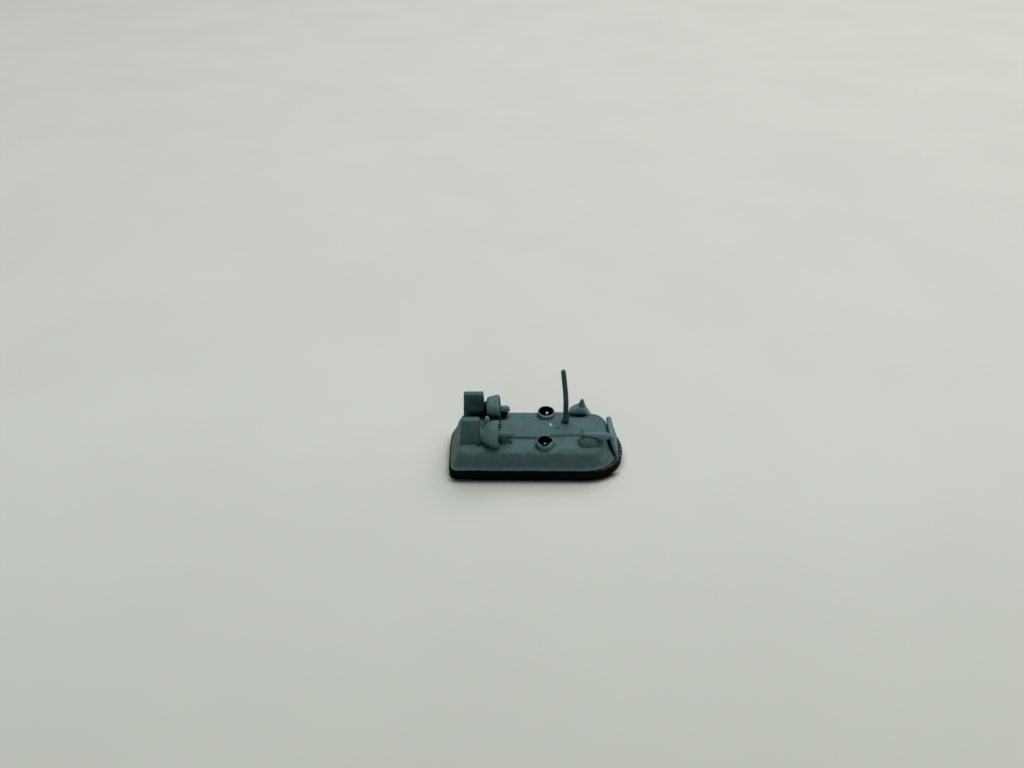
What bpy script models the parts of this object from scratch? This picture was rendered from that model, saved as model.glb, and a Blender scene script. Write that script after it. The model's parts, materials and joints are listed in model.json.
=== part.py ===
"""Painted cast miniature of a ramped assault hovercraft, in metres, +X to the bow, +Y to port, +Z up."""

import math

import bmesh
import bpy
from mathutils import Vector

# Driving dimensions, in millimetres
MM = 0.001
LENGTH = 41.3
BEAM = 16.1
BAND_HEIGHT = 2.85
DECK_Z = 9.0
DECKHOUSE_Z = 9.3
PLATFORM_Z = 9.36
BELOW_DECK_Z = 8.0
RAMP_HALF_WIDTH = 3.6
INTAKE_X = {"port": 2.35, "starboard": 1.78}
INTAKE_Y = 5.25
INTAKE_RIM_Z = 10.03
INTAKE_RADIUS = 2.05
INTAKE_BORE = 1.62
WELL_FLOOR_Z = 8.6
HUB_BASE_Z = 9.05
DUCT_FRONT_X = -8.8
DUCT_Y = 4.56
DUCT_Z = 11.6
DUCT_RADIUS = 3.15
DUCT_MOUTH = 2.53
DISC_FRONT = -1.4
DISC_BACK = -2.2
DISC_OVERLAP = 0.05
DUCT_TILT = {"port": 5.0, "starboard": 3.0}
FIN_Y = {"port": 4.4, "starboard": 4.35}
FIN_THICKNESS = {"port": 1.3, "starboard": 1.5}
COWL_PLACE = (-11.7, 1.1)
MAST_RADIUS = 0.56
MAST_PLACE = (6.75, 1.9)
MAST_TOP_Z = 25.0
MAST_FOOT_PLACE = (6.45, 2.25)
WHEELHOUSE_Y = 5.95
POST_PLACE = (10.85, 5.85)
GUN_HOUSE_CENTRE = (11.75, -4.4, 8.6)
GUN_HOUSE_HALF_SIZE = (2.25, 1.5, 2.15)
BARREL_AFT_END = (10.42, -4.0, 11.0)
BARREL_LENGTH = 6.3
BARREL_DIP = 3.0
BARREL_TOE = -1.5

# Flats around a turned piece
LARGE_ROUND = 40
MIDDLE_ROUND = 24
SMALL_ROUND = 16

# Paint colours, scene-linear
HULL_GREY = (0.075, 0.115, 0.115)
SHADE_GREY = (0.05, 0.08, 0.082)
SKIRT_BLACK = (0.006, 0.006, 0.008)
HUB_WHITE = (0.55, 0.56, 0.54)

for old in list(bpy.data.objects):
    bpy.data.objects.remove(old)

craft = bpy.data.collections.new("assault_hovercraft_miniature")
cutters = bpy.data.collections.new("cutters")
bpy.context.scene.collection.children.link(craft)
bpy.context.scene.collection.children.link(cutters)
cutters.hide_render = True


def paint(name, colour, roughness):
    made = bpy.data.materials.new(name)
    made.use_nodes = True
    shader = made.node_tree.nodes["Principled BSDF"]
    shader.inputs["Base Color"].default_value = (*colour, 1.0)
    shader.inputs["Roughness"].default_value = roughness
    made.diffuse_color = (*colour, 1.0)
    return made


HULL_PAINT = paint("hull_paint", HULL_GREY, 0.6)
SHADE_PAINT = paint("shade_paint", SHADE_GREY, 0.6)
BLACK_PAINT = paint("black_paint", SKIRT_BLACK, 0.4)
WHITE_PAINT = paint("white_paint", HUB_WHITE, 0.5)


def add(name, data, material, collection=craft):
    obj = bpy.data.objects.new(name, data)
    collection.objects.link(obj)
    if material:
        data.materials.append(material)
    if collection is cutters:
        obj.hide_render = True
        obj.display_type = "WIRE"
    return obj


def finish_mesh(bm, name):
    bmesh.ops.recalc_face_normals(bm, faces=bm.faces)
    mesh = bpy.data.meshes.new(name)
    bm.to_mesh(mesh)
    bm.free()
    return mesh


def loft(name, rings, material):
    """A closed body through rings of points that all have the same count, with flat caps."""
    bm = bmesh.new()
    rows = [[bm.verts.new(Vector(point) * MM) for point in ring] for ring in rings]
    count = len(rows[0])
    for low, high in zip(rows, rows[1:]):
        for i in range(count):
            j = (i + 1) % count
            bm.faces.new((low[i], low[j], high[j], high[i]))
    bmesh.ops.triangulate(bm, faces=bm.faces[:])
    bm.faces.new(rows[0][::-1])
    bm.faces.new(rows[-1])
    return add(name, finish_mesh(bm, name), material)


def prism(name, outline, half_width, centre_y, material):
    """A side outline in X and Z, given width along Y."""
    rings = [[(x, centre_y + y, z) for x, z in outline] for y in (-half_width, half_width)]
    return loft(name, rings, material)


def turned(name, profile, material, place=(0.0, 0.0, 0.0), steps=MIDDLE_ROUND, closed=False, collection=craft):
    """A body turned about Z from (radius, height) points, which run top to bottom on the outside."""
    last = len(profile) - 1
    edges = [(i, i + 1) for i in range(last)]
    if closed:
        edges.append((last, 0))
    mesh = bpy.data.meshes.new(name)
    mesh.from_pydata([(r * MM, 0.0, z * MM) for r, z in profile], edges, [])
    obj = add(name, mesh, material, collection)
    obj.location = Vector(place) * MM
    screw = obj.modifiers.new("turn", "SCREW")
    screw.steps = steps
    screw.render_steps = steps
    screw.use_merge_vertices = True
    screw.merge_threshold = 1e-7
    return obj


def soften(obj, width, segments=3, angle=35):
    bevel = obj.modifiers.new("soft_edges", "BEVEL")
    bevel.width = width * MM
    bevel.segments = segments
    bevel.limit_method = "ANGLE"
    bevel.angle_limit = math.radians(angle)


def cut(obj, *tools):
    for tool in tools:
        boolean = obj.modifiers.new("seat_" + tool.name, "BOOLEAN")
        boolean.operation = "DIFFERENCE"
        boolean.solver = "EXACT"
        boolean.object = tool


def half_plan(stern, stern_bow, bow_start, tip, half_beam, corner, squareness):
    """Half of one level: stern bowed out at the middle, round corner, straight side, round bow."""
    points = []
    for i in range(4):
        across = (half_beam - corner) * i / 4
        points.append((stern + stern_bow * (across / half_beam) ** 2, across))
    for i in range(7):
        turn = math.pi / 2 * i / 6
        across = half_beam - corner * (1 - math.sin(turn))
        sweep = stern_bow * (across / half_beam) ** 2
        points.append((stern + sweep + corner * (1 - math.cos(turn)), across))
    side_start = stern + stern_bow + corner
    for i in range(1, 7):
        points.append((side_start + (bow_start - side_start) * i / 7, half_beam))
    for i in range(15):
        turn = math.pi / 2 * i / 14
        along = (tip - bow_start) * math.sin(turn) ** (2 / squareness)
        points.append((bow_start + along, half_beam * math.cos(turn) ** (2 / squareness)))
    return points


def plan(z, stern, stern_bow, bow_start, tip, port, starboard):
    """A full level; each side is given as half beam, stern corner radius and squareness of the bow."""
    left = half_plan(stern, stern_bow, bow_start, tip, *port)
    right = half_plan(stern, stern_bow, bow_start, tip, *starboard)[1:-1]
    return [(x, y, z) for x, y in left] + [(x, -y, z) for x, y in right[::-1]]


# Skirt: a flat-bottomed black band, slightly tucked in at the floor
SKIRT_BOW_START = 11.4
SKIRT_SQUARENESS = {"port": 2.6, "starboard": 2.05}
SKIRT_STERN_BOW = 0.1
skirt_rings = []
for inset, z in ((0.3, 0.0), (0.1, 0.14), (0.0, 0.45), (0.0, 2.3), (0.06, 2.7), (0.16, BAND_HEIGHT)):
    side = BEAM / 2 - inset
    end = LENGTH / 2 - inset
    skirt_rings.append(plan(
        z, -end, SKIRT_STERN_BOW, SKIRT_BOW_START, end,
        (side, 3.3 - inset, SKIRT_SQUARENESS["port"]), (side, 1.9 - inset, SKIRT_SQUARENESS["starboard"]),
    ))
skirt = loft("skirt_band", skirt_rings, BLACK_PAINT)

# Hull, by level: height, stern, start of the bow curve, tip, then the port and the starboard side
STERN_BOW = 0.5
hull_levels = (
    (BAND_HEIGHT, -20.45, 11.0, 19.6, (7.86, 2.9, 2.3), (7.95, 1.3, 2.0)),
    (3.15, -20.45, 11.0, 19.5, (7.87, 2.8, 2.3), (7.97, 1.2, 2.0)),
    (3.5, -20.2, 11.0, 19.25, (7.74, 2.7, 2.35), (7.66, 1.0, 2.05)),
    (3.9, -19.97, 10.95, 19.05, (7.68, 2.65, 2.4), (7.47, 0.9, 2.1)),
    (5.1, -19.45, 10.8, 18.4, (7.5, 2.5, 2.5), (7.45, 0.85, 2.2)),
    (6.7, -18.95, 10.5, 17.5, (7.28, 2.3, 2.7), (7.45, 0.8, 2.4)),
    (7.4, -18.6, 10.4, 17.25, (7.13, 2.2, 2.85), (7.42, 0.75, 2.5)),
    (7.75, -18.4, 10.3, 17.1, (7.0, 2.1, 2.9), (7.36, 0.7, 2.5)),
    (8.0, -18.3, 10.25, 17.0, (6.85, 2.0, 3.0), (7.24, 0.7, 2.5)),
    (8.25, -18.2, 10.2, 16.9, (6.64, 1.9, 3.05), (6.95, 0.65, 2.55)),
    (8.45, -18.12, 10.15, 16.82, (6.4, 1.8, 3.1), (6.5, 0.6, 2.6)),
    (8.62, -18.0, 10.1, 16.75, (6.15, 1.7, 3.15), (5.95, 0.6, 2.7)),
    (8.86, -17.8, 10.0, 16.6, (5.5, 1.5, 3.15), (4.95, 0.5, 2.7)),
    (DECK_Z, -17.55, 9.9, 16.4, (4.5, 1.3, 3.15), (4.2, 0.5, 2.7)),
)
hull_rings = [
    plan(z, stern, STERN_BOW, bow_start, tip, port, starboard)
    for z, stern, bow_start, tip, port, starboard in hull_levels
]
hull = loft("hull_body", hull_rings, HULL_PAINT)
unbored_hull = add("unbored_hull", hull.data, None, cutters)


def raised_deck(name, outline, levels):
    """A low deck with rounded shoulders: at each height the outline shrinks toward its middle."""
    middle_x = sum(x for x, y in outline) / len(outline)
    rings = []
    for z, inset in levels:
        rings.append([
            (x - math.copysign(inset, x - middle_x), y - math.copysign(inset, y), z) for x, y in outline
        ])
    return loft(name, rings, HULL_PAINT)


# Raised decks along the middle
deckhouse = raised_deck(
    "centre_deckhouse",
    ((-9.3, -3.3), (-0.2, -3.38), (3.4, -2.65), (10.75, -2.45), (10.75, 2.8), (-9.3, 3.1)),
    (
        (BELOW_DECK_Z, 0.0), (DECK_Z, 0.0), (DECK_Z + 0.13, 0.1), (DECK_Z + 0.24, 0.27),
        (DECKHOUSE_Z, 0.5),
    ),
)
soften(deckhouse, 0.3, 3, 60)
cut(deckhouse, hull)
platform = raised_deck(
    "bow_platform",
    ((10.0, -3.2), (15.3, -3.2), (16.3, -2.6), (16.3, 2.6), (15.3, 3.2), (10.0, 3.2)),
    (
        (BELOW_DECK_Z, 0.0), (DECK_Z, 0.0), (DECK_Z + 0.16, 0.1), (DECK_Z + 0.29, 0.27),
        (PLATFORM_Z, 0.5),
    ),
)
soften(platform, 0.3, 3, 60)
cut(platform, hull, deckhouse)

# Bow ramp: a plate that thickens toward its foot, stands on the skirt and leans against the bow
ramp_outlines = {
    "port": (
        (17.3, 9.98), (17.74, 9.7), (18.35, 7.5), (19.0, 5.5), (19.65, 3.6), (19.7, BAND_HEIGHT),
        (18.7, BAND_HEIGHT), (18.55, 3.5), (16.6, 9.1), (16.72, 9.78),
    ),
    "starboard": (
        (17.3, 9.98), (17.74, 9.7), (18.25, 7.6), (18.75, 5.6), (19.2, 3.9), (19.3, BAND_HEIGHT),
        (18.8, BAND_HEIGHT), (18.72, 3.6), (16.85, 9.1), (16.9, 9.8),
    ),
}
ramp = loft(
    "bow_ramp",
    [
        [(x, sign * RAMP_HALF_WIDTH, z) for x, z in ramp_outlines[side]]
        for side, sign in (("starboard", -1), ("port", 1))
    ],
    HULL_PAINT,
)
soften(ramp, 0.17, 3, 25)
cut(ramp, hull, skirt)

# Wall that each intake ring, its black well and the hull share, as (radius, height)
intake_wall = (
    (INTAKE_BORE, INTAKE_RIM_Z - 0.14), (1.6, 9.5), (1.5, 9.1), (1.38, 8.75), (1.28, 8.4),
    (1.22, BELOW_DECK_Z),
)

# Duct shells as (radius, distance ahead of the front plane): the starboard one tapers like a bowl
duct_outsides = {
    "port": (
        (3.05, -1.0), (2.95, -1.8), (2.75, -2.5), (2.45, -2.85), (2.2, -2.92), (2.08, -2.86),
    ),
    "starboard": (
        (3.1, -1.0), (3.0, -1.6), (2.75, -2.1), (2.35, -2.7), (1.95, -3.2), (1.75, -3.4), (1.62, -3.36),
    ),
}
duct_insides = {"port": (2.3, -2.4), "starboard": (1.95, -2.55)}

# Boss on the back of each propeller disc: the port one is wide and shows behind its duct
disc_bosses = {
    "port": ((1.8, DISC_BACK), (1.8, -3.15), (1.65, -3.45), (1.2, -3.62), (0.0, -3.65)),
    "starboard": ((0.6, DISC_BACK), (0.6, -2.8), (0.3, -3.1), (0.0, -3.15)),
}

# Nacelles as (radius, distance ahead of the front plane), and the height of each axis
nacelle_profiles = {
    "port": (
        (0.0, 2.45), (0.4, 2.37), (0.7, 2.1), (0.85, 1.65), (0.87, -0.35), (0.62, -0.5), (0.0, -0.5),
    ),
    "starboard": (
        (0.0, 3.15), (0.35, 3.08), (0.55, 2.85), (0.65, 2.4), (0.7, -0.35), (0.5, -0.5), (0.0, -0.5),
    ),
}
nacelle_heights = {"port": 11.15, "starboard": 11.35}

# Pylons by level: height, aft and front edge ahead of the duct, half width
pylon_levels = {
    "port": (
        (BELOW_DECK_Z, 0.6, 1.3, 1.1), (9.2, 0.55, 1.45, 1.1), (10.2, 0.4, 1.9, 0.95),
        (10.9, 0.4, 2.0, 0.75),
    ),
    "starboard": (
        (BELOW_DECK_Z, 0.6, 1.3, 0.42), (9.2, 0.55, 1.45, 0.42), (10.2, 0.4, 1.9, 0.42),
        (11.2, 0.4, 2.0, 0.42),
    ),
}

# Port and starboard pieces
for side, sign in (("port", 1), ("starboard", -1)):
    # Lift-fan intakes on the shoulders, each lined black inside its rim
    intake_place = (INTAKE_X[side], sign * INTAKE_Y, 0.0)
    rim = turned(
        "intake_ring_" + side,
        (
            (INTAKE_BORE + 0.05, INTAKE_RIM_Z - 0.03),
            (INTAKE_BORE + 0.15, INTAKE_RIM_Z),
            (INTAKE_RADIUS - 0.1, INTAKE_RIM_Z - 0.06),
            (INTAKE_RADIUS, INTAKE_RIM_Z - 0.28),
            (INTAKE_RADIUS - 0.04, 9.45),
            (INTAKE_RADIUS - 0.14, 9.15),
            (INTAKE_RADIUS - 0.28, 8.8),
            (INTAKE_RADIUS - 0.4, 8.5),
            (INTAKE_RADIUS - 0.5, 8.2),
            (INTAKE_RADIUS - 0.6, BELOW_DECK_Z),
            *intake_wall[::-1],
        ),
        HULL_PAINT,
        intake_place,
        LARGE_ROUND,
        closed=True,
    )
    turned(
        "intake_well_" + side,
        (
            (0.0, HUB_BASE_Z),
            (0.22, HUB_BASE_Z),
            (0.25, WELL_FLOOR_Z),
            (0.95, WELL_FLOOR_Z),
            (1.2, WELL_FLOOR_Z + 0.2),
            (1.35, 9.1),
            (INTAKE_BORE - 0.15, 9.5),
            (INTAKE_BORE - 0.14, INTAKE_RIM_Z - 0.14),
            *intake_wall,
            (0.0, BELOW_DECK_Z),
        ),
        BLACK_PAINT,
        intake_place,
        LARGE_ROUND,
    )
    turned(
        "intake_hub_" + side,
        (
            (0.0, HUB_BASE_Z + 0.39), (0.14, HUB_BASE_Z + 0.36), (0.26, HUB_BASE_Z + 0.25),
            (0.29, HUB_BASE_Z + 0.11), (0.22, HUB_BASE_Z), (0.0, HUB_BASE_Z),
        ),
        WHITE_PAINT,
        intake_place,
        SMALL_ROUND,
    )
    bore = turned(
        "intake_bore_" + side,
        (
            (0.0, INTAKE_RIM_Z + 1.0), (INTAKE_BORE, INTAKE_RIM_Z + 1.0), *intake_wall,
            (0.0, BELOW_DECK_Z),
        ),
        None,
        intake_place,
        LARGE_ROUND,
        collection=cutters,
    )
    cut(hull, bore)
    cut(rim, unbored_hull)

    # Propeller ducts: shrouds tilted a little, with the wider mouth forward
    duct_place = (DUCT_FRONT_X, sign * DUCT_Y, DUCT_Z)
    duct_turn = math.radians(90.0 - DUCT_TILT[side])
    mouth = (
        (DUCT_MOUTH, 0.0),
        (DUCT_RADIUS - 0.5, 0.12),
        (DUCT_RADIUS - 0.3, 0.12),
        (DUCT_RADIUS - 0.08, -0.05),
        (DUCT_RADIUS, -0.35),
    )
    duct = turned(
        "propeller_duct_" + side,
        (*mouth, *duct_outsides[side], duct_insides[side]),
        HULL_PAINT,
        duct_place,
        LARGE_ROUND,
        closed=True,
    )
    duct.rotation_euler.y = duct_turn
    cut(duct, hull, deckhouse)

    # Propeller disc that fills the duct
    back_radius, back = duct_insides[side]
    taper = (back_radius - DUCT_MOUTH) / back
    disc_front_radius = DUCT_MOUTH + taper * DISC_FRONT + DISC_OVERLAP
    disc_back_radius = DUCT_MOUTH + taper * DISC_BACK + DISC_OVERLAP
    disc = turned(
        "propeller_disc_" + side,
        (
            (0.0, -0.5), (0.35, -0.55), (0.6, -0.8), (0.6, DISC_FRONT),
            (disc_front_radius, DISC_FRONT), (disc_back_radius, DISC_BACK), *disc_bosses[side],
        ),
        SHADE_PAINT,
        duct_place,
        LARGE_ROUND,
    )
    disc.rotation_euler.y = duct_turn
    cut(disc, duct)

    # Nacelle and its pylon, ahead of the duct
    nacelle = turned(
        "nacelle_" + side,
        nacelle_profiles[side],
        HULL_PAINT,
        (DUCT_FRONT_X, sign * DUCT_Y, nacelle_heights[side]),
        MIDDLE_ROUND,
    )
    nacelle.rotation_euler.y = math.pi / 2
    pylon = loft(
        "pylon_" + side,
        [
            [
                (DUCT_FRONT_X + ahead, sign * DUCT_Y + width, z)
                for ahead, width in (
                    (aft, -half_width), (front, -half_width), (front, half_width), (aft, half_width),
                )
            ]
            for z, aft, front, half_width in pylon_levels[side]
        ],
        SHADE_PAINT,
    )
    soften(pylon, 0.12, 2)
    cut(nacelle, disc)
    cut(pylon, hull, nacelle)

# Fins: thick slabs in line with the hull
fin_outlines = {
    "port": ((-17.15, 16.25), (-12.55, 16.35), (-12.55, BELOW_DECK_Z), (-17.45, BELOW_DECK_Z)),
    "starboard": ((-17.15, 15.9), (-13.15, 16.0), (-13.15, BELOW_DECK_Z), (-18.0, BELOW_DECK_Z)),
}
for side, sign in (("port", 1), ("starboard", -1)):
    half_thickness = FIN_THICKNESS[side] / 2
    fin = prism("fin_" + side, fin_outlines[side], half_thickness, sign * FIN_Y[side], HULL_PAINT)
    soften(fin, 0.32, 4)
    cut(fin, hull)

# Small cowl aft, just to port of the centre line
cowl = turned(
    "stern_cowl",
    (
        (0.0, 11.8), (0.26, 11.74), (0.46, 11.5), (0.6, 11.0), (0.66, 10.2), (0.7, 9.5),
        (0.8, 9.15), (0.95, 8.9), (0.0, 8.9),
    ),
    HULL_PAINT,
    (*COWL_PLACE, 0.0),
    MIDDLE_ROUND,
)
cut(cowl, hull)

# Mast: a round bar that leans aft in its upper half, with a small mound beside its heel
mast_line = (
    (0.08, DECKHOUSE_Z, 1.0), (0.04, 12.8, 1.0), (-0.05, 15.7, 1.0), (-0.3, 18.7, 0.97),
    (-1.03, MAST_TOP_Z - 0.3, 0.92), (-1.07, MAST_TOP_Z, 0.55),
)
mast_curve = bpy.data.curves.new("mast", "CURVE")
mast_curve.dimensions = "3D"
mast_curve.bevel_depth = MAST_RADIUS * MM
mast_curve.bevel_resolution = 4
mast_curve.use_fill_caps = True
spline = mast_curve.splines.new("POLY")
spline.points.add(len(mast_line) - 1)
for point, (lean, z, share) in zip(spline.points, mast_line):
    point.co = ((MAST_PLACE[0] + lean) * MM, MAST_PLACE[1] * MM, z * MM, 1.0)
    point.radius = share
add("mast", mast_curve, SHADE_PAINT)
mast_socket = turned(
    "mast_socket",
    (
        (0.0, DECKHOUSE_Z + 2.0), (MAST_RADIUS + 0.01, DECKHOUSE_Z + 2.0),
        (MAST_RADIUS + 0.01, BELOW_DECK_Z), (0.0, BELOW_DECK_Z),
    ),
    None,
    (*MAST_PLACE, 0.0),
    LARGE_ROUND,
    collection=cutters,
)
foot = turned(
    "mast_foot",
    (
        (0.0, DECKHOUSE_Z + 0.42), (0.3, DECKHOUSE_Z + 0.38), (0.52, DECKHOUSE_Z + 0.22),
        (0.66, DECKHOUSE_Z), (0.0, DECKHOUSE_Z),
    ),
    SHADE_PAINT,
    (*MAST_FOOT_PLACE, 0.0),
    SMALL_ROUND,
)
cut(foot, mast_socket)

# Wheelhouse on the port bow: a loaf with an undercut foot on its inboard side
WHEELHOUSE_BASE_Z = 8.2
WHEELHOUSE_BOW_BASE_Z = 6.6
WHEELHOUSE_STEP_X = 12.0
# Sections: X, height, half width, depth of the undercut as a share of the half width
wheelhouse_sections = (
    (7.95, 9.7, 0.6, 0.35), (8.05, 10.2, 0.86, 0.55), (8.4, 10.55, 0.98, 0.6), (9.2, 11.1, 1.1, 0.6),
    (10.2, 11.75, 1.2, 0.6), (11.0, 11.75, 1.26, 0.55), (11.6, 11.3, 1.26, 0.45), (12.3, 10.2, 1.15, 0.2),
    (13.0, 9.0, 0.98, 0.0), (13.35, 8.2, 0.7, 0.0),
)
wheelhouse_rings = []
for x, top, half_width, under in wheelhouse_sections:
    low = WHEELHOUSE_BOW_BASE_Z if x > WHEELHOUSE_STEP_X else WHEELHOUSE_BASE_Z
    outline = (
        (under - 1, 0.0), (under - 1, 0.36), (-1.0, 0.54), (-1.0, 0.72), (-0.76, 0.89), (-0.3, 0.99),
        (0.3, 0.99), (0.76, 0.88), (0.97, 0.66), (1.0, 0.3), (1.0, 0.0),
    )
    wheelhouse_rings.append([
        (x, WHEELHOUSE_Y + half_width * across, low + (top - low) * rise) for across, rise in outline
    ])
wheelhouse = loft("wheelhouse", wheelhouse_rings, HULL_PAINT)
rounding = wheelhouse.modifiers.new("rounding", "SUBSURF")
rounding.levels = 1
rounding.render_levels = 1
cut(wheelhouse, hull)
post = turned(
    "wheelhouse_post",
    (
        (0.0, 13.25), (0.2, 13.18), (0.36, 12.95), (0.46, 12.5), (0.58, 12.1), (0.74, 11.75),
        (0.76, 11.2), (0.0, 11.2),
    ),
    HULL_PAINT,
    (*POST_PLACE, 0.0),
    SMALL_ROUND,
)
cut(post, wheelhouse)

# Gun house on the starboard bow: a rounded block, with its thick barrel dipping to the ramp
SECTIONS = 12
SECTION_POINTS = 20
LENGTH_POWER = 2.8
SECTION_POWER = 0.8


def blunt(value):
    return math.copysign(abs(value) ** SECTION_POWER, value)


gun_house_rings = []
for i in range(1, SECTIONS):
    along = -math.cos(math.pi * i / SECTIONS)
    share = (1 - abs(along) ** LENGTH_POWER) ** (1 / LENGTH_POWER)
    ring = []
    for j in range(SECTION_POINTS):
        turn = 2 * math.pi * j / SECTION_POINTS
        ring.append((
            GUN_HOUSE_CENTRE[0] + GUN_HOUSE_HALF_SIZE[0] * along,
            GUN_HOUSE_CENTRE[1] + GUN_HOUSE_HALF_SIZE[1] * share * blunt(math.cos(turn)),
            GUN_HOUSE_CENTRE[2] + GUN_HOUSE_HALF_SIZE[2] * share * blunt(math.sin(turn)),
        ))
    gun_house_rings.append(ring)
gun_house = loft("gun_house", gun_house_rings, HULL_PAINT)
soften(gun_house, 0.12, 2, 50)
cut(gun_house, hull, platform)
barrel = turned(
    "gun_barrel",
    (
        (0.0, BARREL_LENGTH), (0.4, BARREL_LENGTH - 0.04), (0.64, BARREL_LENGTH - 0.2),
        (0.78, BARREL_LENGTH - 0.5), (0.76, 4.2), (0.58, 0.4), (0.48, 0.12), (0.3, 0.0), (0.0, 0.0),
    ),
    HULL_PAINT,
    BARREL_AFT_END,
    MIDDLE_ROUND,
)
barrel.rotation_euler = (0.0, math.radians(90.0 + BARREL_DIP), math.radians(BARREL_TOE))
cut(barrel, gun_house, platform, ramp)
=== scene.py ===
import json
import math

import bpy
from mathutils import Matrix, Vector

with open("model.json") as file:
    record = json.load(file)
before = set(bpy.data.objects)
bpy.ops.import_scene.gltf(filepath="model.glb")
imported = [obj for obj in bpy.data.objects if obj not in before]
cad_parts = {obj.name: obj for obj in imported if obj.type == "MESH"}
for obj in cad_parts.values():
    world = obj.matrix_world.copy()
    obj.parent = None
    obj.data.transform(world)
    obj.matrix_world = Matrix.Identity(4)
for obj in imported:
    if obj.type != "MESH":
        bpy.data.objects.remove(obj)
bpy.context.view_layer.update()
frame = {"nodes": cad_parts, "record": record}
nodes = frame["nodes"]
MM = 0.001


# Helpers
def fill(node, inputs):
    """Numbers, colours, vectors or other nodes' outputs into a node's inputs."""
    for key, value in inputs.items():
        socket = node.inputs[key]
        if isinstance(value, bpy.types.NodeSocket):
            node.id_data.links.new(value, socket)
        elif isinstance(value, tuple) and len(value) < len(socket.default_value):
            socket.default_value = (*value, 1.0)
        else:
            socket.default_value = value


def add_node(tree, kind, inputs=None, **settings):
    """A new node with these settings, and then with these inputs."""
    made = tree.nodes.new(kind)
    for key, value in settings.items():
        setattr(made, key, value)
    fill(made, inputs or {})
    return made


def setting(table, name):
    """What a table says of a piece, or else of most pieces."""
    return table.get(name, table["most"])


# Sockets that carry the colours of a Mix node
MIX_FIRST = 6
MIX_SECOND = 7
MIX_RESULT = 2
NOISE_ROUGHNESS = 0.55
HOLLOW_SAMPLES = 8
# A stroke fades between these shares of its radius, and its edge wanders by up to this share
FADE_FROM = 0.2
FADE_TO = 1.8
WANDER = 0.4


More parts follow.
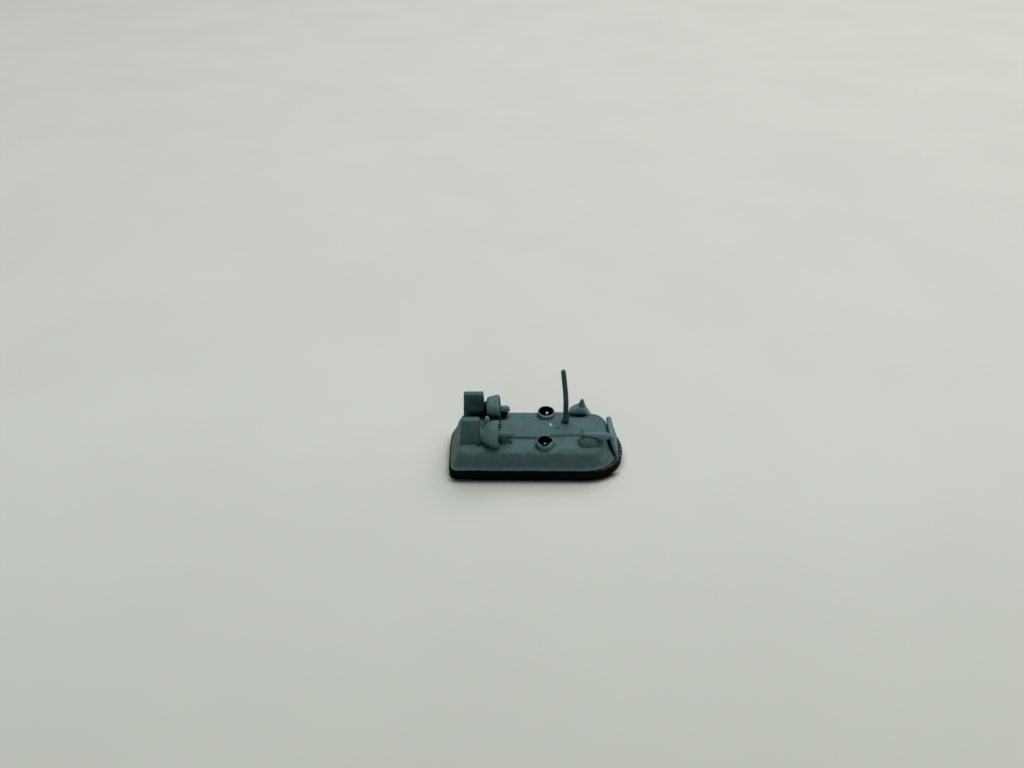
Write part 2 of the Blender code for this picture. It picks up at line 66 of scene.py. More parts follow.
class Paint:
    """A material under construction. Its places and lengths are in millimetres of the model."""

    def __init__(self, name, specular):
        self.material = bpy.data.materials.new(name)
        self.material.use_nodes = True
        self.tree = self.material.node_tree
        self.shader = self.tree.nodes["Principled BSDF"]
        fill(self.shader, {"Specular IOR Level": specular})
        coords = add_node(self.tree, "ShaderNodeTexCoord").outputs["Object"]
        self.place = self.scaled(coords, 1.0 / MM)
        self.x, self.y, self.z = add_node(self.tree, "ShaderNodeSeparateXYZ", {0: self.place}).outputs
        geometry = add_node(self.tree, "ShaderNodeNewGeometry")
        self.pointiness = geometry.outputs["Pointiness"]
        facing = add_node(self.tree, "ShaderNodeSeparateXYZ", {0: geometry.outputs["Normal"]})
        self.facing_x = facing.outputs["X"]
        self.facing_z = facing.outputs["Z"]
        uneven = self.noise(1.3, 3.0, shift=(2.0, 6.0, 3.0))
        self.ragged = self.span(uneven, 0.25, 0.75, -WANDER, WANDER)

    def finish(self, colour, roughness):
        """The material with this colour and roughness."""
        fill(self.shader, {"Base Color": colour, "Roughness": roughness})
        return self.material

    def math(self, operation, a, b, **settings):
        """The result of one operation on two numbers."""
        return add_node(self.tree, "ShaderNodeMath", {0: a, 1: b}, operation=operation, **settings).outputs[0]

    def scaled(self, vector, scale):
        """A vector times a number."""
        made = add_node(self.tree, "ShaderNodeVectorMath", {0: vector, "Scale": scale}, operation="SCALE")
        return made.outputs["Vector"]

    def vector(self, operation, a, b, result="Vector"):
        """The result of one operation on two vectors, which is a Vector or a Value."""
        return add_node(self.tree, "ShaderNodeVectorMath", {0: a, 1: b}, operation=operation).outputs[result]

    def span(self, value, low, high, to_low=0.0, to_high=1.0):
        """The value carried smoothly from low..high to to_low..to_high, and held beyond them."""
        inputs = {"Value": value, "From Min": low, "From Max": high, "To Min": to_low, "To Max": to_high}
        made = add_node(self.tree, "ShaderNodeMapRange", inputs, interpolation_type="SMOOTHSTEP")
        return made.outputs["Result"]

    def noise(self, per_mm, detail, stretch=(1.0, 1.0, 1.0), shift=(0.0, 0.0, 0.0)):
        """Noise from 0 to 1 with about per_mm lumps a millimetre."""
        scale = tuple(per_mm * share for share in stretch)
        inputs = {"Vector": self.place, "Scale": scale, "Location": shift}
        place = add_node(self.tree, "ShaderNodeMapping", inputs).outputs["Vector"]
        inputs = {"Vector": place, "Scale": 1.0, "Detail": detail, "Roughness": NOISE_ROUGHNESS}
        return add_node(self.tree, "ShaderNodeTexNoise", inputs).outputs["Fac"]

    def uneven(self, most, per_mm, detail, **kind):
        """Noise from -most to most."""
        return self.span(self.noise(per_mm, detail, **kind), 0.3, 0.7, -most, most)

    def mix(self, share, first, second):
        """The first colour with a share of the second over it."""
        inputs = {"Factor": share, MIX_FIRST: first, MIX_SECOND: second}
        return add_node(self.tree, "ShaderNodeMix", inputs, data_type="RGBA").outputs[MIX_RESULT]

    def brightness(self, colour, value):
        """The colour with its brightness multiplied by the value."""
        return add_node(self.tree, "ShaderNodeHueSaturation", {"Value": value, "Color": colour}).outputs[0]

    def stroke(self, start, end, radius):
        """1 along a line between two places, falling to 0 at its soft and ragged edge."""
        line = Vector(end) - Vector(start)
        from_start = self.vector("SUBTRACT", self.place, start)
        along = self.vector("DOT_PRODUCT", from_start, tuple(line), "Value")
        share = self.math("DIVIDE", along, line.length_squared, use_clamp=True)
        apart = self.vector("DISTANCE", from_start, self.scaled(tuple(line), share), "Value")
        ragged = self.math("ADD", apart, self.math("MULTIPLY", self.ragged, radius))
        return self.span(ragged, radius * FADE_FROM, radius * FADE_TO, 1.0, 0.0)

    def marks(self, strokes):
        """The strongest of several strokes at each place."""
        total = 0.0
        for start, end, radius, strength in strokes:
            one = self.math("MULTIPLY", self.stroke(start, end, radius), strength)
            total = self.math("MAXIMUM", total, one)
        return total

    def hollows(self, reach, low, high):
        """0 in the open, 1 deep in a corner within reach."""
        inputs = {"Distance": reach * MM}
        made = add_node(self.tree, "ShaderNodeAmbientOcclusion", inputs, samples=HOLLOW_SAMPLES)
        return self.span(made.outputs["AO"], low, high, 1.0, 0.0)

    def bump(self, height, deep):
        """Raises the surface by height (0 to 1) times deep."""
        inputs = {"Strength": 1.0, "Distance": deep * MM, "Height": height}
        made = add_node(self.tree, "ShaderNodeBump", inputs)
        fill(self.shader, {"Normal": made.outputs["Normal"]})


# Colours of the hull paint, its worn edges, the wash and painted shade in its hollows and on its side, the
# pale stern and painted light
BASE = (0.075, 0.136, 0.139)
GREENISH = (0.079, 0.133, 0.128)
EDGE = (0.125, 0.185, 0.178)
WASH_AND_SHADE = (0.012, 0.036, 0.038)
STERN = (0.128, 0.171, 0.14)
PAINTED_LIGHT = (0.2, 0.29, 0.28)
# Colours of a dark mark, which is painted shade, at its edge and in its middle, where it is deep painted
# shade or black paint, and of the one pale speck
SHADE = (0.0015, 0.014, 0.017)
BLACK_PAINT_AND_DEEP_SHADE = (0.0003, 0.0012, 0.0018)
SPECK = (0.4, 0.46, 0.44)
# Colours of the black paint, its brown dust, its worn edges, the dust on its ledge and the wells
SOOT = (0.0022, 0.0022, 0.0024)
BROWN = (0.009, 0.006, 0.005)
WORN_SOOT = (0.012, 0.012, 0.012)
DUST = (0.065, 0.08, 0.07)
BLACK = (0.0, 0.0, 0.0)
# Colours of the hubs: the port one is nearly white, the starboard one a dull grey-green
HUB_COLOURS = {
    "intake_hub_port": ((0.45, 0.5, 0.47), (0.62, 0.66, 0.63)),
    "intake_hub_starboard": ((0.12, 0.17, 0.14), (0.24, 0.3, 0.26)),
}
HUB_HOLLOW_SHADE = (0.05, 0.06, 0.06)

# Pieces that the marks on the decks run across, and those marks, almost all painted shade and shadow in
# crevices, under things and between parts, with one dark smudge: start, end, radius, strength
DECKS = {"hull_body", "centre_deckhouse", "bow_platform"}
DECK_MARKS = (
    ((-8.55, -3.0, 8.95), (-8.5, -4.3, 8.9), 0.5, 1.0),
    ((-8.0, -3.6, 9.0), (-6.2, -3.2, 9.0), 0.65, 0.85),
    ((-6.9, -4.2, 8.95), (-6.1, -4.6, 8.9), 0.55, 0.85),
    ((-8.6, 1.2, 9.1), (-8.65, 0.0, 9.1), 0.34, 0.95),
    ((-12.75, -2.9, 8.95), (-12.75, -5.0, 8.8), 0.7, 0.4),
    ((-13.0, -1.4, 9.0), (-12.95, -3.9, 9.0), 0.3, 0.5),
    ((-13.25, -4.1, 8.9), (-12.5, -5.4, 8.7), 0.34, 1.0),
    ((-12.5, -5.4, 8.7), (-11.5, -6.1, 8.2), 0.34, 0.95),
    ((-13.6, -5.3, 8.8), (-13.3, -5.55, 8.75), 0.36, 0.85),
    ((-12.9, 5.4, 9.0), (-12.4, 4.2, 9.0), 0.8, 1.0),
    ((-13.3, 5.0, 9.0), (-13.0, 4.2, 9.0), 0.6, 1.0),
    ((-8.3, 3.7, 9.0), (-7.5, 3.8, 9.0), 0.6, 1.0),
    ((-6.8, -3.22, 9.1), (-0.4, -3.25, 9.1), 0.5, 0.55),
    ((-6.05, -2.95, 9.1), (-5.3, -2.4, 9.2), 0.45, 0.6),
    ((3.4, -2.45, 9.1), (9.7, -2.35, 9.1), 0.5, 0.35),
    ((10.5, -2.75, 9.3), (10.6, -0.9, 9.35), 0.3, 0.5),
    ((5.2, -6.8, 8.55), (9.8, -6.4, 8.55), 0.26, 0.3),
    ((10.7, -3.5, 9.2), (14.8, -3.5, 9.2), 0.4, 0.6),
    ((14.2, -4.0, 8.95), (15.0, -4.2, 8.9), 0.55, 0.65),
    ((14.0, -5.35, 8.8), (14.4, -5.4, 8.7), 0.5, 0.65),
    ((13.6, -4.85, 8.8), (15.15, -5.98, 8.3), 0.26, 0.5),
    ((9.8, -4.0, 8.95), (9.85, -4.8, 8.85), 0.4, 0.45),
    ((16.55, -3.3, 8.0), (16.94, -3.49, 6.89), 0.75, 1.0),
    ((16.94, -3.49, 6.89), (17.64, -3.3, 5.42), 0.55, 1.0),
    ((17.64, -3.3, 5.42), (18.2, -3.4, 4.2), 0.36, 1.0),
    ((-12.4, 0.7, 9.0), (-12.1, 0.3, 9.0), 0.5, 0.4),
    ((-0.25, -5.4, 8.85), (-0.2, -5.9, 8.8), 0.4, 0.3),
    ((3.95, -4.7, 8.9), (3.9, -5.3, 8.9), 0.4, 0.4),
    ((0.5, 4.2, 9.0), (0.8, 3.9, 9.0), 0.42, 0.7),
    ((3.9, 4.7, 9.0), (3.6, 4.3, 9.0), 0.42, 0.7),
    ((8.2, 4.65, 9.0), (11.6, 4.65, 9.0), 0.42, 1.0),
    ((4.85, 0.05, 9.3), (4.95, -0.05, 9.3), 0.35, 0.65),
)
# Dark marks on single pieces: painted shade and shadow, and black paint on the lip of the starboard ring
PIECE_MARKS = {
    "fin_port": (
        ((-15.2, 3.75, 14.0), (-13.0, 3.75, 13.9), 1.1, 0.55),
        ((-15.3, 3.75, 10.2), (-13.0, 3.75, 10.2), 1.2, 0.95),
        ((-16.0, 3.75, 12.0), (-13.0, 3.75, 12.0), 1.6, 0.3),
    ),
    "propeller_duct_port": (
        ((-11.3, 1.45, 11.3), (-9.0, 1.45, 11.2), 0.9, 0.9),
        ((-11.9, 3.2, 10.2), (-11.4, 2.6, 10.6), 0.6, 1.0),
    ),
    "propeller_disc_port": (((-12.6, 4.56, 13.5), (-12.6, 4.56, 9.6), 1.0, 1.0),),
    "intake_ring_starboard": (((0.95, -6.2, 9.95), (1.5, -6.8, 9.95), 0.28, 1.0),),
    "propeller_duct_starboard": (
        ((-8.75, -2.2, 12.2), (-8.75, -2.1, 11.0), 0.45, 0.95),
        ((-8.6, -3.8, 9.3), (-8.6, -4.3, 9.2), 0.5, 1.0),
        ((-8.68, -4.9, 14.7), (-8.68, -6.1, 14.3), 0.26, 0.9),
        ((-8.68, -7.1, 13.3), (-8.68, -7.6, 11.7), 0.3, 1.0),
        ((-12.0, -2.6, 12.4), (-11.6, -2.6, 12.3), 0.6, 0.2),
        ((-11.3, -7.2, 10.0), (-9.2, -7.35, 10.0), 1.0, 0.5),
    ),
    "nacelle_port": (
        ((-8.5, 3.75, 10.45), (-6.4, 3.95, 10.45), 0.42, 0.95),
        ((-8.55, 4.3, 12.0), (-8.5, 3.8, 11.0), 0.3, 0.5),
        ((-7.6, 3.8, 11.4), (-7.4, 3.9, 11.5), 0.25, 0.3),
    ),
    "nacelle_starboard": (((-8.4, -5.1, 10.7), (-5.9, -5.0, 10.7), 0.4, 0.6),),
    "wheelhouse": (((8.2, 4.9, 8.8), (10.8, 4.9, 8.8), 0.42, 1.0),),
    "gun_house": (
        ((9.7, -4.0, 9.0), (9.8, -4.8, 8.9), 0.5, 0.6),
        ((10.6, -4.7, 10.6), (13.6, -4.8, 10.3), 0.6, 0.6),
    ),
    "mast": (((6.9, 1.4, 9.4), (7.0, 1.4, 9.8), 0.4, 0.3),),
}
# Painted light on single pieces: lighter patches where they look lit
PAINTED_LIGHT_MARKS = {
    "wheelhouse": (((8.7, 4.85, 10.4), (12.1, 4.7, 9.8), 1.0, 0.9),),
    "propeller_duct_starboard": (((-12.1, -6.9, 13.0), (-9.4, -7.1, 13.1), 0.9, 0.2),),
    "intake_ring_port": (((1.2, 3.3, 9.6), (3.6, 3.35, 9.6), 0.75, 0.95),),
    "hull_body": (
        ((-16.9, -5.9, 8.9), (-13.6, -6.3, 8.8), 1.0, 0.35),
        ((-16.6, -6.9, 8.4), (-13.6, -7.0, 8.4), 0.7, 0.25),
        ((-13.0, 2.7, 9.0), (-12.8, 1.8, 9.0), 0.6, 0.4),
        ((15.6, -6.1, 5.8), (17.4, -4.7, 4.8), 1.3, 0.28),
        ((0.4, -7.1, 8.3), (3.3, -7.0, 8.3), 0.6, 0.3),
    ),
}
SPECK_START = (3.3, 1.0, 9.33)
SPECK_END = (3.25, 1.5, 9.33)
SPECK_RADIUS = 0.24
# The aft part of the port disc is black all over, as painted shade deep in the duct
DISC_AFT_SHADE = (-10.8, -10.0)
# Middle of each intake, and how far the black on its ring reaches from there to starboard
INTAKES = {
    "intake_ring_port": ((2.35, 5.25, 0.0), 2.5),
    "intake_ring_starboard": ((1.78, -5.25, 0.0), 0.2),
}
# Radius inside which and height above which that black lies, and how softly it ends
MOUTH_RADIUS = (1.7, 1.8)
MOUTH_FROM = (9.3, 9.5)
MOUTH_FADE = 0.3
# Height over which the painted shade on the foot of the starboard ring fades out, and how strong it is
RING_FOOT_SHADE = (8.7, 9.6)
RING_FOOT_SHADE_SHARE = 0.4

# How light each piece is painted, as painted light and shade: one paint made lighter or darker piece by piece
# for how light falls on it; from how light on its edges are worn; and how dark its hollows are, as wash and
# painted shade
LIGHT_AND_SHADE_LIFT = {
    "most": 1.0,
    "fin_port": 0.88,
    "fin_starboard": 0.8,
    "propeller_duct_port": 1.25,
    "propeller_duct_starboard": 1.12,
    "propeller_disc_port": 0.9,
    "propeller_disc_starboard": 0.5,
    "nacelle_port": 1.15,
    "pylon_port": 0.03,
    "pylon_starboard": 0.7,
    "stern_cowl": 2.2,
    "intake_ring_port": 1.25,
    "intake_ring_starboard": 1.15,
    "mast": 0.6,
    "wheelhouse": 1.45,
    "wheelhouse_post": 1.15,
    "gun_barrel": 1.25,
    "bow_ramp": 1.6,
}
WORN_FROM = 0.8
HOLLOW_WASH_AND_SHADE = {
    "most": 0.6,
    "hull_body": 0.4,
    "centre_deckhouse": 0.3,
    "wheelhouse": 0.0,
    "intake_ring_port": 0.0,
    "intake_ring_starboard": 0.15,
    "propeller_duct_port": 0.3,
    "stern_cowl": 0.15,
}
HULL_SPECULAR = {"most": 0.1, "pylon_port": 0.02}
BLACK_SPECULAR = {"most": 0.0, "skirt_band": 0.03}
HUB_SPECULAR = 0.4
HULL_BUMP = 0.05
BLACK_BUMP = 0.05
HUB_BUMP = 0.02

# Pointiness over which an edge becomes worn, and how worn it becomes
HULL_WORN = (0.52, 0.6)
HULL_WORN_SHARE = 0.45
BLACK_WORN = (0.53, 0.62)
BLACK_WORN_SHARE = 0.25
# Reach of the hollows, and how closed they are at their darkest and at their edge
HULL_HOLLOWS = (1.3, 0.3, 0.95)
HUB_HOLLOWS = (0.4, 0.3, 0.9)
FLOOR_HOLLOWS = (2.0, 0.6, 0.98)
HUB_HOLLOW_SHARE = 0.5
# Strength of a dark mark over which it goes from its edge colour to the colour of its middle
MARK_MIDDLE = (0.7, 0.95)
# Lighter and darker paint: how far blotches, streaks and grain change the brightness
BLOTCHES = 0.08
STREAKS = 0.07
GRAIN = 0.03
# Dust on the ledge round the bow: where the skirt faces up, and from where forward
DUST_FACING = (0.35, 0.8)
DUST_FROM = (12.8, 15.5)
WELL_BLACK_SHARE = 0.85

# Heights and shares of the bands round the hull
BLACK_LINE = 2.73
BLACK_LINE_WANDER = 0.6
LEDGE = (3.2, 3.85)
LEDGE_SHARE = 0.8
# Painted shade: the side is darker between these heights
SIDE_FROM = (3.8, 4.4)
SIDE_TO = (6.6, 7.6)
SIDE_SHADE_SHARE = 0.14
# The pale stern: where the hull faces astern, and how far forward it reaches
STERN_FACING = (-0.85, -0.5)
STERN_TO = (-18.6, -17.6)
STERN_SHARE = 0.8


def hull_bands(paint, colour):
    """The hull's pale stern, the paler ledge above the skirt, the black line on it and painted shade on the
    side.
    """
    astern = paint.span(paint.facing_x, *STERN_FACING, STERN_SHARE, 0.0)
    astern = paint.math("MULTIPLY", astern, paint.span(paint.x, *STERN_TO, 1.0, 0.0))
    colour = paint.mix(astern, colour, STERN)
    height = paint.math("ADD", paint.z, paint.math("MULTIPLY", paint.ragged, 0.4))
    ledge = paint.span(height, *LEDGE, LEDGE_SHARE, 0.0)
    ledge = paint.math("MULTIPLY", ledge, paint.span(paint.noise(0.12, 2.0), 0.3, 0.6, 0.3, 1.0))
    colour = paint.mix(ledge, colour, EDGE)
    line = paint.math("MULTIPLY", paint.noise(0.8, 3.0), BLACK_LINE_WANDER)
    above = paint.math("SUBTRACT", paint.z, paint.math("ADD", line, BLACK_LINE))
    colour = paint.mix(paint.span(above, -0.05, 0.1, 1.0, 0.0), colour, SOOT)
    # Painted shade on the side, between these heights
    side = paint.span(paint.z, *SIDE_FROM, 0.0, SIDE_SHADE_SHARE)
    side = paint.math("MULTIPLY", side, paint.span(paint.z, *SIDE_TO, 1.0, 0.0))
    return paint.mix(side, colour, WASH_AND_SHADE)


def intake_mouth(paint, name):
    """The black of the well up to the crest of the rim, on the starboard ring only along its far half."""
    centre, reach = INTAKES[name]
    near = centre[1] - reach
    flat = paint.vector("MULTIPLY", paint.place, (1.0, 1.0, 0.0))
    inside = paint.span(paint.vector("DISTANCE", flat, centre, "Value"), *MOUTH_RADIUS, 1.0, 0.0)
    mouth = paint.math("MULTIPLY", inside, paint.span(paint.z, *MOUTH_FROM))
    return paint.math("MULTIPLY", mouth, paint.span(paint.y, near, near + MOUTH_FADE))


def hull_paint(name):
    """Brushed blue-grey paint, made lighter or darker piece by piece as painted light and shade, darker in
    the hollows as wash and painted shade, worn along the edges, with patches of painted light and dark marks
    of painted shade.
    """
    light_and_shade_lift = setting(LIGHT_AND_SHADE_LIFT, name)
    paint = Paint(name + "_paint", setting(HULL_SPECULAR, name))
    colour = paint.mix(paint.span(paint.noise(0.16, 2.0), 0.35, 0.65), BASE, GREENISH)
    blotches = paint.uneven(BLOTCHES, 0.3, 2.0, shift=(3.0, 1.0, 7.0))
    streaks = paint.uneven(STREAKS, 1.0, 4.0, stretch=(0.14, 1.3, 1.3))
    grain = paint.uneven(GRAIN, 5.0, 2.0)
    # Painted light and shade: each piece's paint is made lighter or darker by its lift
    value = paint.math("ADD", paint.math("ADD", blotches, streaks), paint.math("ADD", grain, light_and_shade_lift))
    colour = paint.brightness(colour, value)
    if light_and_shade_lift >= WORN_FROM:
        colour = paint.mix(paint.span(paint.pointiness, *HULL_WORN, 0.0, HULL_WORN_SHARE), colour, EDGE)
    if name == "intake_ring_starboard":
        # Painted shade on the lower wall of the starboard ring
        colour = paint.mix(paint.span(paint.z, *RING_FOOT_SHADE, RING_FOOT_SHADE_SHARE, 0.0), colour, WASH_AND_SHADE)
    # Darker in the hollows: partly a wash, partly painted shade where shade falls
    hollows = paint.math("MULTIPLY", paint.hollows(*HULL_HOLLOWS), setting(HOLLOW_WASH_AND_SHADE, name))
    colour = paint.mix(hollows, colour, WASH_AND_SHADE)
    if name == "hull_body":
        colour = hull_bands(paint, colour)
    # Painted light
    if name in PAINTED_LIGHT_MARKS:
        colour = paint.mix(paint.marks(PAINTED_LIGHT_MARKS[name]), colour, PAINTED_LIGHT)
    # Dark marks: painted shade and shadow, and a little black paint on the starboard ring
    strokes = PIECE_MARKS.get(name, ())
    # The deck marks: painted shade and shadow, and one dark smudge
    if name in DECKS:
        strokes = strokes + DECK_MARKS
    if strokes:
        dark = paint.marks(strokes)
        # Painted shade: the aft part of the port disc is black
        if name == "propeller_disc_port":
            dark = paint.math("MAXIMUM", dark, paint.span(paint.x, *DISC_AFT_SHADE, 1.0, 0.0))
        colour = paint.mix(dark, colour, paint.mix(paint.span(dark, *MARK_MIDDLE), SHADE, BLACK_PAINT_AND_DEEP_SHADE))
    if name in INTAKES:
        colour = paint.mix(intake_mouth(paint, name), colour, BLACK_PAINT_AND_DEEP_SHADE)
    if name == "centre_deckhouse":
        colour = paint.mix(paint.stroke(SPECK_START, SPECK_END, SPECK_RADIUS), colour, SPECK)
    brushed = paint.noise(1.0, 3.0, (0.5, 3.2, 3.2), (1.0, 5.0, 2.0))
    lumps = paint.noise(1.4, 3.0, shift=(4.0, 4.0, 1.0))
    paint.bump(paint.math("ADD", paint.math("MULTIPLY", brushed, 0.2), lumps), HULL_BUMP)
    matt = paint.noise(0.7, 3.0, shift=(9.0, 2.0, 4.0))
    return paint.finish(colour, paint.span(matt, 0.3, 0.7, 0.48, 0.66))


def black_paint(name):
    """Black paint: dusty and worn on the skirt, blacker still in the wells."""
    paint = Paint(name + "_paint", setting(BLACK_SPECULAR, name))
    dust = paint.span(paint.noise(0.5, 4.0, (0.6, 1.0, 1.6)), 0.52, 0.72, 0.0, 0.25)
    colour = paint.mix(dust, SOOT, BROWN)
    worn = paint.span(paint.pointiness, *BLACK_WORN, 0.0, BLACK_WORN_SHARE)
    colour = paint.mix(worn, colour, WORN_SOOT)
    if name == "skirt_band":
        # Grey-green dust on the ledge round the bow, streaked with black
        forward = paint.span(paint.x, *DUST_FROM)
        ledge = paint.math("MULTIPLY", paint.span(paint.facing_z, *DUST_FACING), forward)
        streaked = paint.span(paint.noise(1.1, 3.0, (0.6, 1.3, 1.0)), 0.2, 0.75)
        colour = paint.mix(paint.math("MULTIPLY", ledge, streaked), colour, DUST)
    else:
        colour = paint.mix(WELL_BLACK_SHARE, colour, BLACK)
    paint.bump(paint.noise(1.6, 3.0), BLACK_BUMP)
    return paint.finish(colour, paint.span(paint.noise(0.9, 3.0), 0.3, 0.7, 0.5, 0.7))


def hub_paint(name):
    """Pale paint, blotched, with painted shade in its hollows."""
    paint = Paint(name + "_paint", HUB_SPECULAR)
    colour = paint.mix(paint.span(paint.noise(2.5, 3.0), 0.35, 0.65), *HUB_COLOURS[name])
    # Painted shade in the hollows
    hollows = paint.math("MULTIPLY", paint.hollows(*HUB_HOLLOWS), HUB_HOLLOW_SHARE)
    colour = paint.mix(hollows, colour, HUB_HOLLOW_SHADE)
    paint.bump(paint.noise(4.0, 2.0), HUB_BUMP)
    return paint.finish(colour, paint.span(paint.noise(3.0, 2.0), 0.3, 0.7, 0.35, 0.55))


paints = {
    "hull_paint": hull_paint,
    "shade_paint": hull_paint,
    "black_paint": black_paint,
    "white_paint": hub_paint,
}
slots = {entry["node"]: entry["material_slot"] for entry in frame["record"]["subparts"]}
for name, obj in nodes.items():
    obj.data.materials.clear()
    obj.data.materials.append(paints[slots[name]](name))


# Shape of the paint: each piece is remeshed, rounded over along its edges, and grown by a lumpy film
# of paint. Its base sinks into what it stands on, so that no crack shows. Lengths are in millimetres.
LUMPS_PER_METRE = 700.0
SINK = 0.28
WELD = 0.001
VOXEL = {"most": 0.09, "hull_body": 0.16, "skirt_band": 0.18, "centre_deckhouse": 0.12}
ROUNDING = {"most": 6, "centre_deckhouse": 8}
FILM = {
    "most": 0.02,
    "mast": 0.06,
    "mast_foot": 0.1,
    "intake_hub_port": 0.12,
    "intake_hub_starboard": 0.06,
    "propeller_disc_port": 0.12,
    "wheelhouse_post": 0.06,
}
LUMPS = {
    "most": 0.025,
    "hull_body": 0.05,
    "skirt_band": 0.05,
    "propeller_duct_port": 0.04,
    "propeller_duct_starboard": 0.04,
    "mast": 0.012,
}
# A face is part of the base where it looks down and lies below this height
LOOKS_DOWN = (-0.9, -0.5)
BASE_BELOW = {"most": 9.25, "wheelhouse_post": 11.9, "mast_foot": 9.5, "bow_platform": 9.4}


def new_group(name, numbers=()):
    """An empty geometry group, its two ends and the keys of its number inputs."""
    group = bpy.data.node_groups.new(name, "GeometryNodeTree")
    group.interface.new_socket("Geometry", in_out="INPUT", socket_type="NodeSocketGeometry")
    keys = {}
    for number in numbers:
        socket = group.interface.new_socket(number, in_out="INPUT", socket_type="NodeSocketFloat")
        keys[number] = socket.identifier
    group.interface.new_socket("Geometry", in_out="OUTPUT", socket_type="NodeSocketGeometry")
    return group, add_node(group, "NodeGroupInput"), add_node(group, "NodeGroupOutput"), keys


def film_group():
    """Grows a piece by its film and lumps, sinks its base, and leaves nothing below the floor."""
    group, start, end, keys = new_group("paint_film", ("Film", "Lumps", "Base Below"))

    def number(operation, a, b, c=0.0):
        return add_node(group, "ShaderNodeMath", {0: a, 1: b, 2: c}, operation=operation).outputs[0]

    def vector(operation, inputs):
        return add_node(group, "ShaderNodeVectorMath", inputs, operation=operation).outputs[0]

    def span(value, low, high, to_low, to_high):
        inputs = {"Value": value, "From Min": low, "From Max": high, "To Min": to_low, "To Max": to_high}
        return add_node(group, "ShaderNodeMapRange", inputs).outputs["Result"]

    position = add_node(group, "GeometryNodeInputPosition").outputs[0]
    normal = add_node(group, "GeometryNodeInputNormal").outputs[0]
    inputs = {"Vector": position, "Scale": LUMPS_PER_METRE, "Detail": 2.0}
    noise = add_node(group, "ShaderNodeTexNoise", inputs).outputs["Fac"]
    lumps = span(noise, 0.25, 0.75, -1.0, 1.0)
    thickness = number("MULTIPLY_ADD", lumps, start.outputs["Lumps"], start.outputs["Film"])
    grown = vector("ADD", {0: position, 1: vector("SCALE", {0: normal, "Scale": thickness})})

    facing = add_node(group, "ShaderNodeSeparateXYZ", {0: normal}).outputs[2]
    height = add_node(group, "ShaderNodeSeparateXYZ", {0: position}).outputs[2]
    downward = span(facing, *LOOKS_DOWN, 1.0, 0.0)
    at_base = number("MULTIPLY", downward, number("LESS_THAN", height, start.outputs["Base Below"]))
    sunk = vector("SCALE", {0: (0.0, 0.0, -SINK * MM), "Scale": at_base})
    on_floor = vector("MAXIMUM", {0: vector("ADD", {0: grown, 1: sunk}), 1: (-1.0, -1.0, 0.0)})

    inputs = {"Geometry": start.outputs["Geometry"], "Position": on_floor}
    moved = add_node(group, "GeometryNodeSetPosition", inputs).outputs[0]
    smooth = add_node(group, "GeometryNodeSetShadeSmooth", {"Geometry": moved}).outputs[0]
    fill(end, {0: smooth})
    return group, keys


film_nodes, film_keys = film_group()
for name, obj in nodes.items():
    weld = obj.modifiers.new("weld", "WELD")
    weld.merge_threshold = WELD * MM
    remesh = obj.modifiers.new("remesh", "REMESH")
    remesh.mode = "VOXEL"
    remesh.voxel_size = setting(VOXEL, name) * MM
    remesh.use_smooth_shade = True
    rounding = obj.modifiers.new("rounding", "SMOOTH")
    rounding.factor = 0.5
    rounding.iterations = setting(ROUNDING, name)
    film = obj.modifiers.new("film", "NODES")
    film.node_group = film_nodes
    film[film_keys["Film"]] = setting(FILM, name) * MM
    film[film_keys["Lumps"]] = setting(LUMPS, name) * MM
    film[film_keys["Base Below"]] = setting(BASE_BELOW, name) * MM

# Places where a piece is pushed out of its plain shape: centre, reach, push
PUSHES = {
    "intake_ring_starboard": (
        ((0.7, -6.4, 9.95), (1.1, 1.1, 0.8), (0.16, 0.12, 0.0)),
        ((2.95, -6.1, 9.95), (1.2, 1.3, 0.8), (-0.36, 0.28, 0.0)),
    ),
    "centre_deckhouse": (((10.75, 0.2, 9.2), (0.9, 8.0, 0.8), (0.45, 0.0, 0.06)),),
    "bow_platform": (((10.1, 0.0, 9.3), (0.7, 8.0, 1.0), (-0.1, 0.0, -0.15)),),
    "mast": (((7.7, 1.4, 11.0), (0.9, 1.5, 3.8), (0.4, 0.0, 0.0)),),
    "hull_body": (((5.2, 6.6, 8.7), (2.4, 1.6, 1.2), (0.0, 0.05, 0.25)),),
    "fin_port": (((-12.6, 3.75, 13.6), (1.0, 2.0, 3.0), (0.18, 0.0, 0.0)),),
    "skirt_band": (((-20.6, 1.0, 1.5), (1.3, 7.5, 3.0), (-0.18, 0.0, 0.0)),),
    "propeller_disc_port": (((-12.6, 4.56, 14.2), (1.4, 3.0, 2.6), (0.0, 0.0, -1.1)),),
    "mast_foot": (((6.2, 2.3, 9.7), (0.9, 0.9, 0.8), (0.25, -0.1, 0.8)),),
    "intake_hub_port": (((2.35, 5.25, 9.3), (2.0, 2.0, 2.0), (0.22, 0.1, 0.05)),),
    "wheelhouse": (((10.0, 4.7, 9.9), (3.0, 0.8, 0.8), (0.0, 0.0, -0.4)),),
}


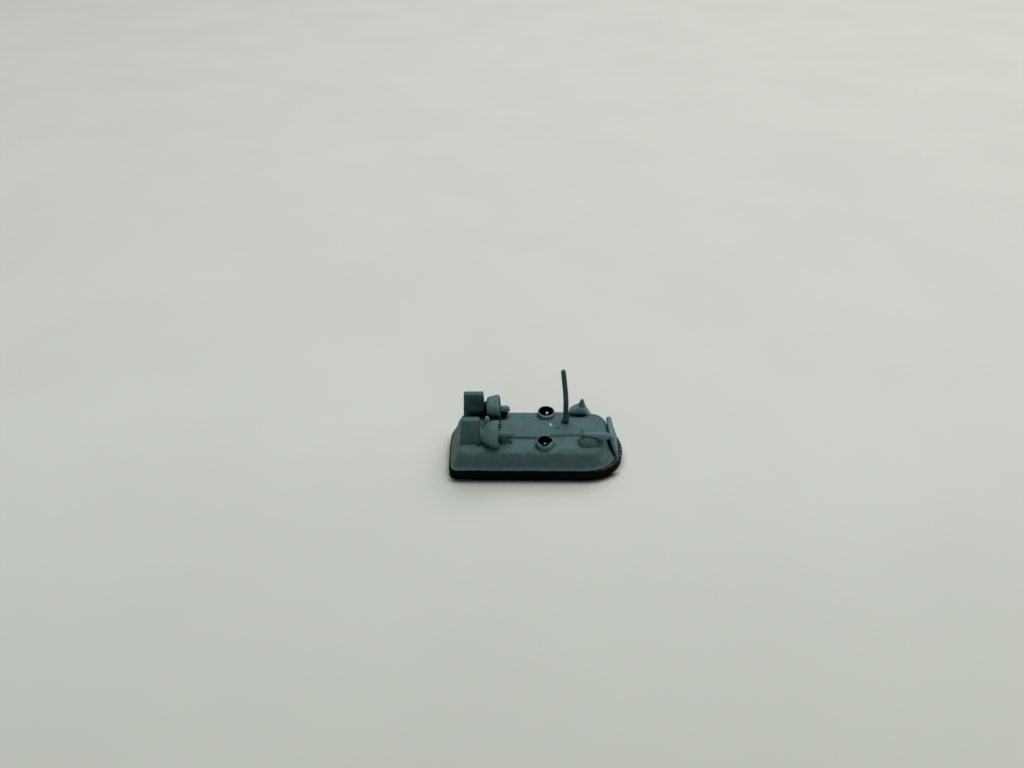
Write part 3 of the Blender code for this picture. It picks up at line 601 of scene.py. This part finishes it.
def push_group(name, places):
    """Moves the skin near each centre by the push, fading out at the reach."""
    group, start, end, _ = new_group(name + "_push")

    def vector(operation, inputs, result="Vector"):
        return add_node(group, "ShaderNodeVectorMath", inputs, operation=operation).outputs[result]

    position = add_node(group, "GeometryNodeInputPosition").outputs[0]
    geometry = start.outputs["Geometry"]
    for centre, reach, push in places:
        apart = vector("SUBTRACT", {0: position, 1: Vector(centre) * MM})
        share = vector("DIVIDE", {0: apart, 1: Vector(reach) * MM})
        inputs = {"Value": vector("LENGTH", {0: share}, "Value"), "To Min": 1.0, "To Max": 0.0}
        fade = add_node(group, "ShaderNodeMapRange", inputs, interpolation_type="SMOOTHSTEP")
        offset = vector("SCALE", {0: Vector(push) * MM, "Scale": fade.outputs["Result"]})
        inputs = {"Geometry": geometry, "Offset": offset}
        geometry = add_node(group, "GeometryNodeSetPosition", inputs).outputs[0]
    fill(end, {0: geometry})
    return group


for name, places in PUSHES.items():
    push = nodes[name].modifiers.new("push", "NODES")
    push.node_group = push_group(name, places)

# Stage: one pale sheet, lit softly from above, behind and a little to the right
FLOOR_SIZE = 3.0
FLOOR_SPECULAR = 0.1
FLOOR_ROUGHNESS = 0.9
# The floor's colour far off and near the front, where it is darker as painted shade
FLOOR_FAR = (0.66, 0.67, 0.61)
FLOOR_NEAR_SHADED = (0.56, 0.57, 0.51)
FLOOR_DEPTH = (-110.0, 20.0)
FLOOR_MOTTLE = (0.985, 1.015)
# The contact shade: its colour, how it turns with the hull's long side, and how strong it is there
CONTACT = (0.012, 0.01, 0.008)
CONTACT_TURN = 0.06
CONTACT_SIDE = (-7.2, -6.0)
CONTACT_SHARES = (0.98, 0.25)
STUDIO_COLOUR = (0.58, 0.86, 1.0)
STUDIO_STRENGTH = 0.12


def floor_paint():
    """Pale and slightly mottled, darker towards the front as painted shade, with deep shade where the model
    stands.
    """
    paint = Paint("floor_paint", FLOOR_SPECULAR)
    colour = paint.mix(paint.span(paint.y, *FLOOR_DEPTH), FLOOR_NEAR_SHADED, FLOOR_FAR)
    mottle = paint.span(paint.noise(0.02, 3.0), 0.3, 0.7, *FLOOR_MOTTLE)
    colour = paint.brightness(colour, mottle)
    towards_front = paint.math("SUBTRACT", paint.y, paint.math("MULTIPLY", paint.x, CONTACT_TURN))
    strength = paint.span(towards_front, *CONTACT_SIDE, *CONTACT_SHARES)
    contact = paint.math("MULTIPLY", paint.hollows(*FLOOR_HOLLOWS), strength)
    return paint.finish(paint.mix(contact, colour, CONTACT), FLOOR_ROUGHNESS)


def plane(name, size):
    """A square sheet on the stage, at the origin."""
    half = size / 2
    corners = [(-half, -half, 0), (half, -half, 0), (half, half, 0), (-half, half, 0)]
    mesh = bpy.data.meshes.new(name)
    mesh.from_pydata(corners, [], [(0, 1, 2, 3)])
    obj = bpy.data.objects.new(name, mesh)
    bpy.context.scene.collection.objects.link(obj)
    return obj


floor = plane("floor", FLOOR_SIZE)
floor.data.materials.append(floor_paint())

world = bpy.data.worlds.new("studio")
bpy.context.scene.world = world
world.use_nodes = True
fill(world.node_tree.nodes["Background"], {"Color": STUDIO_COLOUR, "Strength": STUDIO_STRENGTH})


def area(name, place, size, power, colour):
    """A round soft light that faces the model."""
    light = bpy.data.lights.new(name, "AREA")
    light.shape = "DISK"
    light.size = size
    light.energy = power
    light.color = colour
    obj = bpy.data.objects.new(name, light)
    bpy.context.scene.collection.objects.link(obj)
    obj.location = place
    obj.rotation_euler = (-Vector(place)).to_track_quat("-Z", "Y").to_euler()


area("overhead", (0.28, 0.36, 1.3), 1.8, 22.0, (1.0, 0.985, 0.965))
area("front_fill", (0.1, -1.2, 0.7), 1.6, 2.6, (0.72, 0.92, 1.0))

bpy.context.scene.view_settings.view_transform = "Standard"
bpy.context.scene.view_settings.look = "None"

# Camera, fitted to the outlines in the photograph: metres, degrees, and millimetres for lens and sensor
CAMERA_PLACE = (-0.00489, -0.13418, 0.13124)
CAMERA_TILT = 51.0
CAMERA_TURN = 0.398
CAMERA_LENS = 27.035
CAMERA_SENSOR = 36.0
CAMERA_NEAR = 0.005

camera = bpy.data.objects.new("camera", bpy.data.cameras.new("camera"))
bpy.context.scene.collection.objects.link(camera)
bpy.context.scene.camera = camera
camera.data.lens = CAMERA_LENS
camera.data.sensor_width = CAMERA_SENSOR
camera.data.clip_start = CAMERA_NEAR
camera.location = CAMERA_PLACE
camera.rotation_euler = (math.radians(CAMERA_TILT), 0.0, math.radians(CAMERA_TURN))
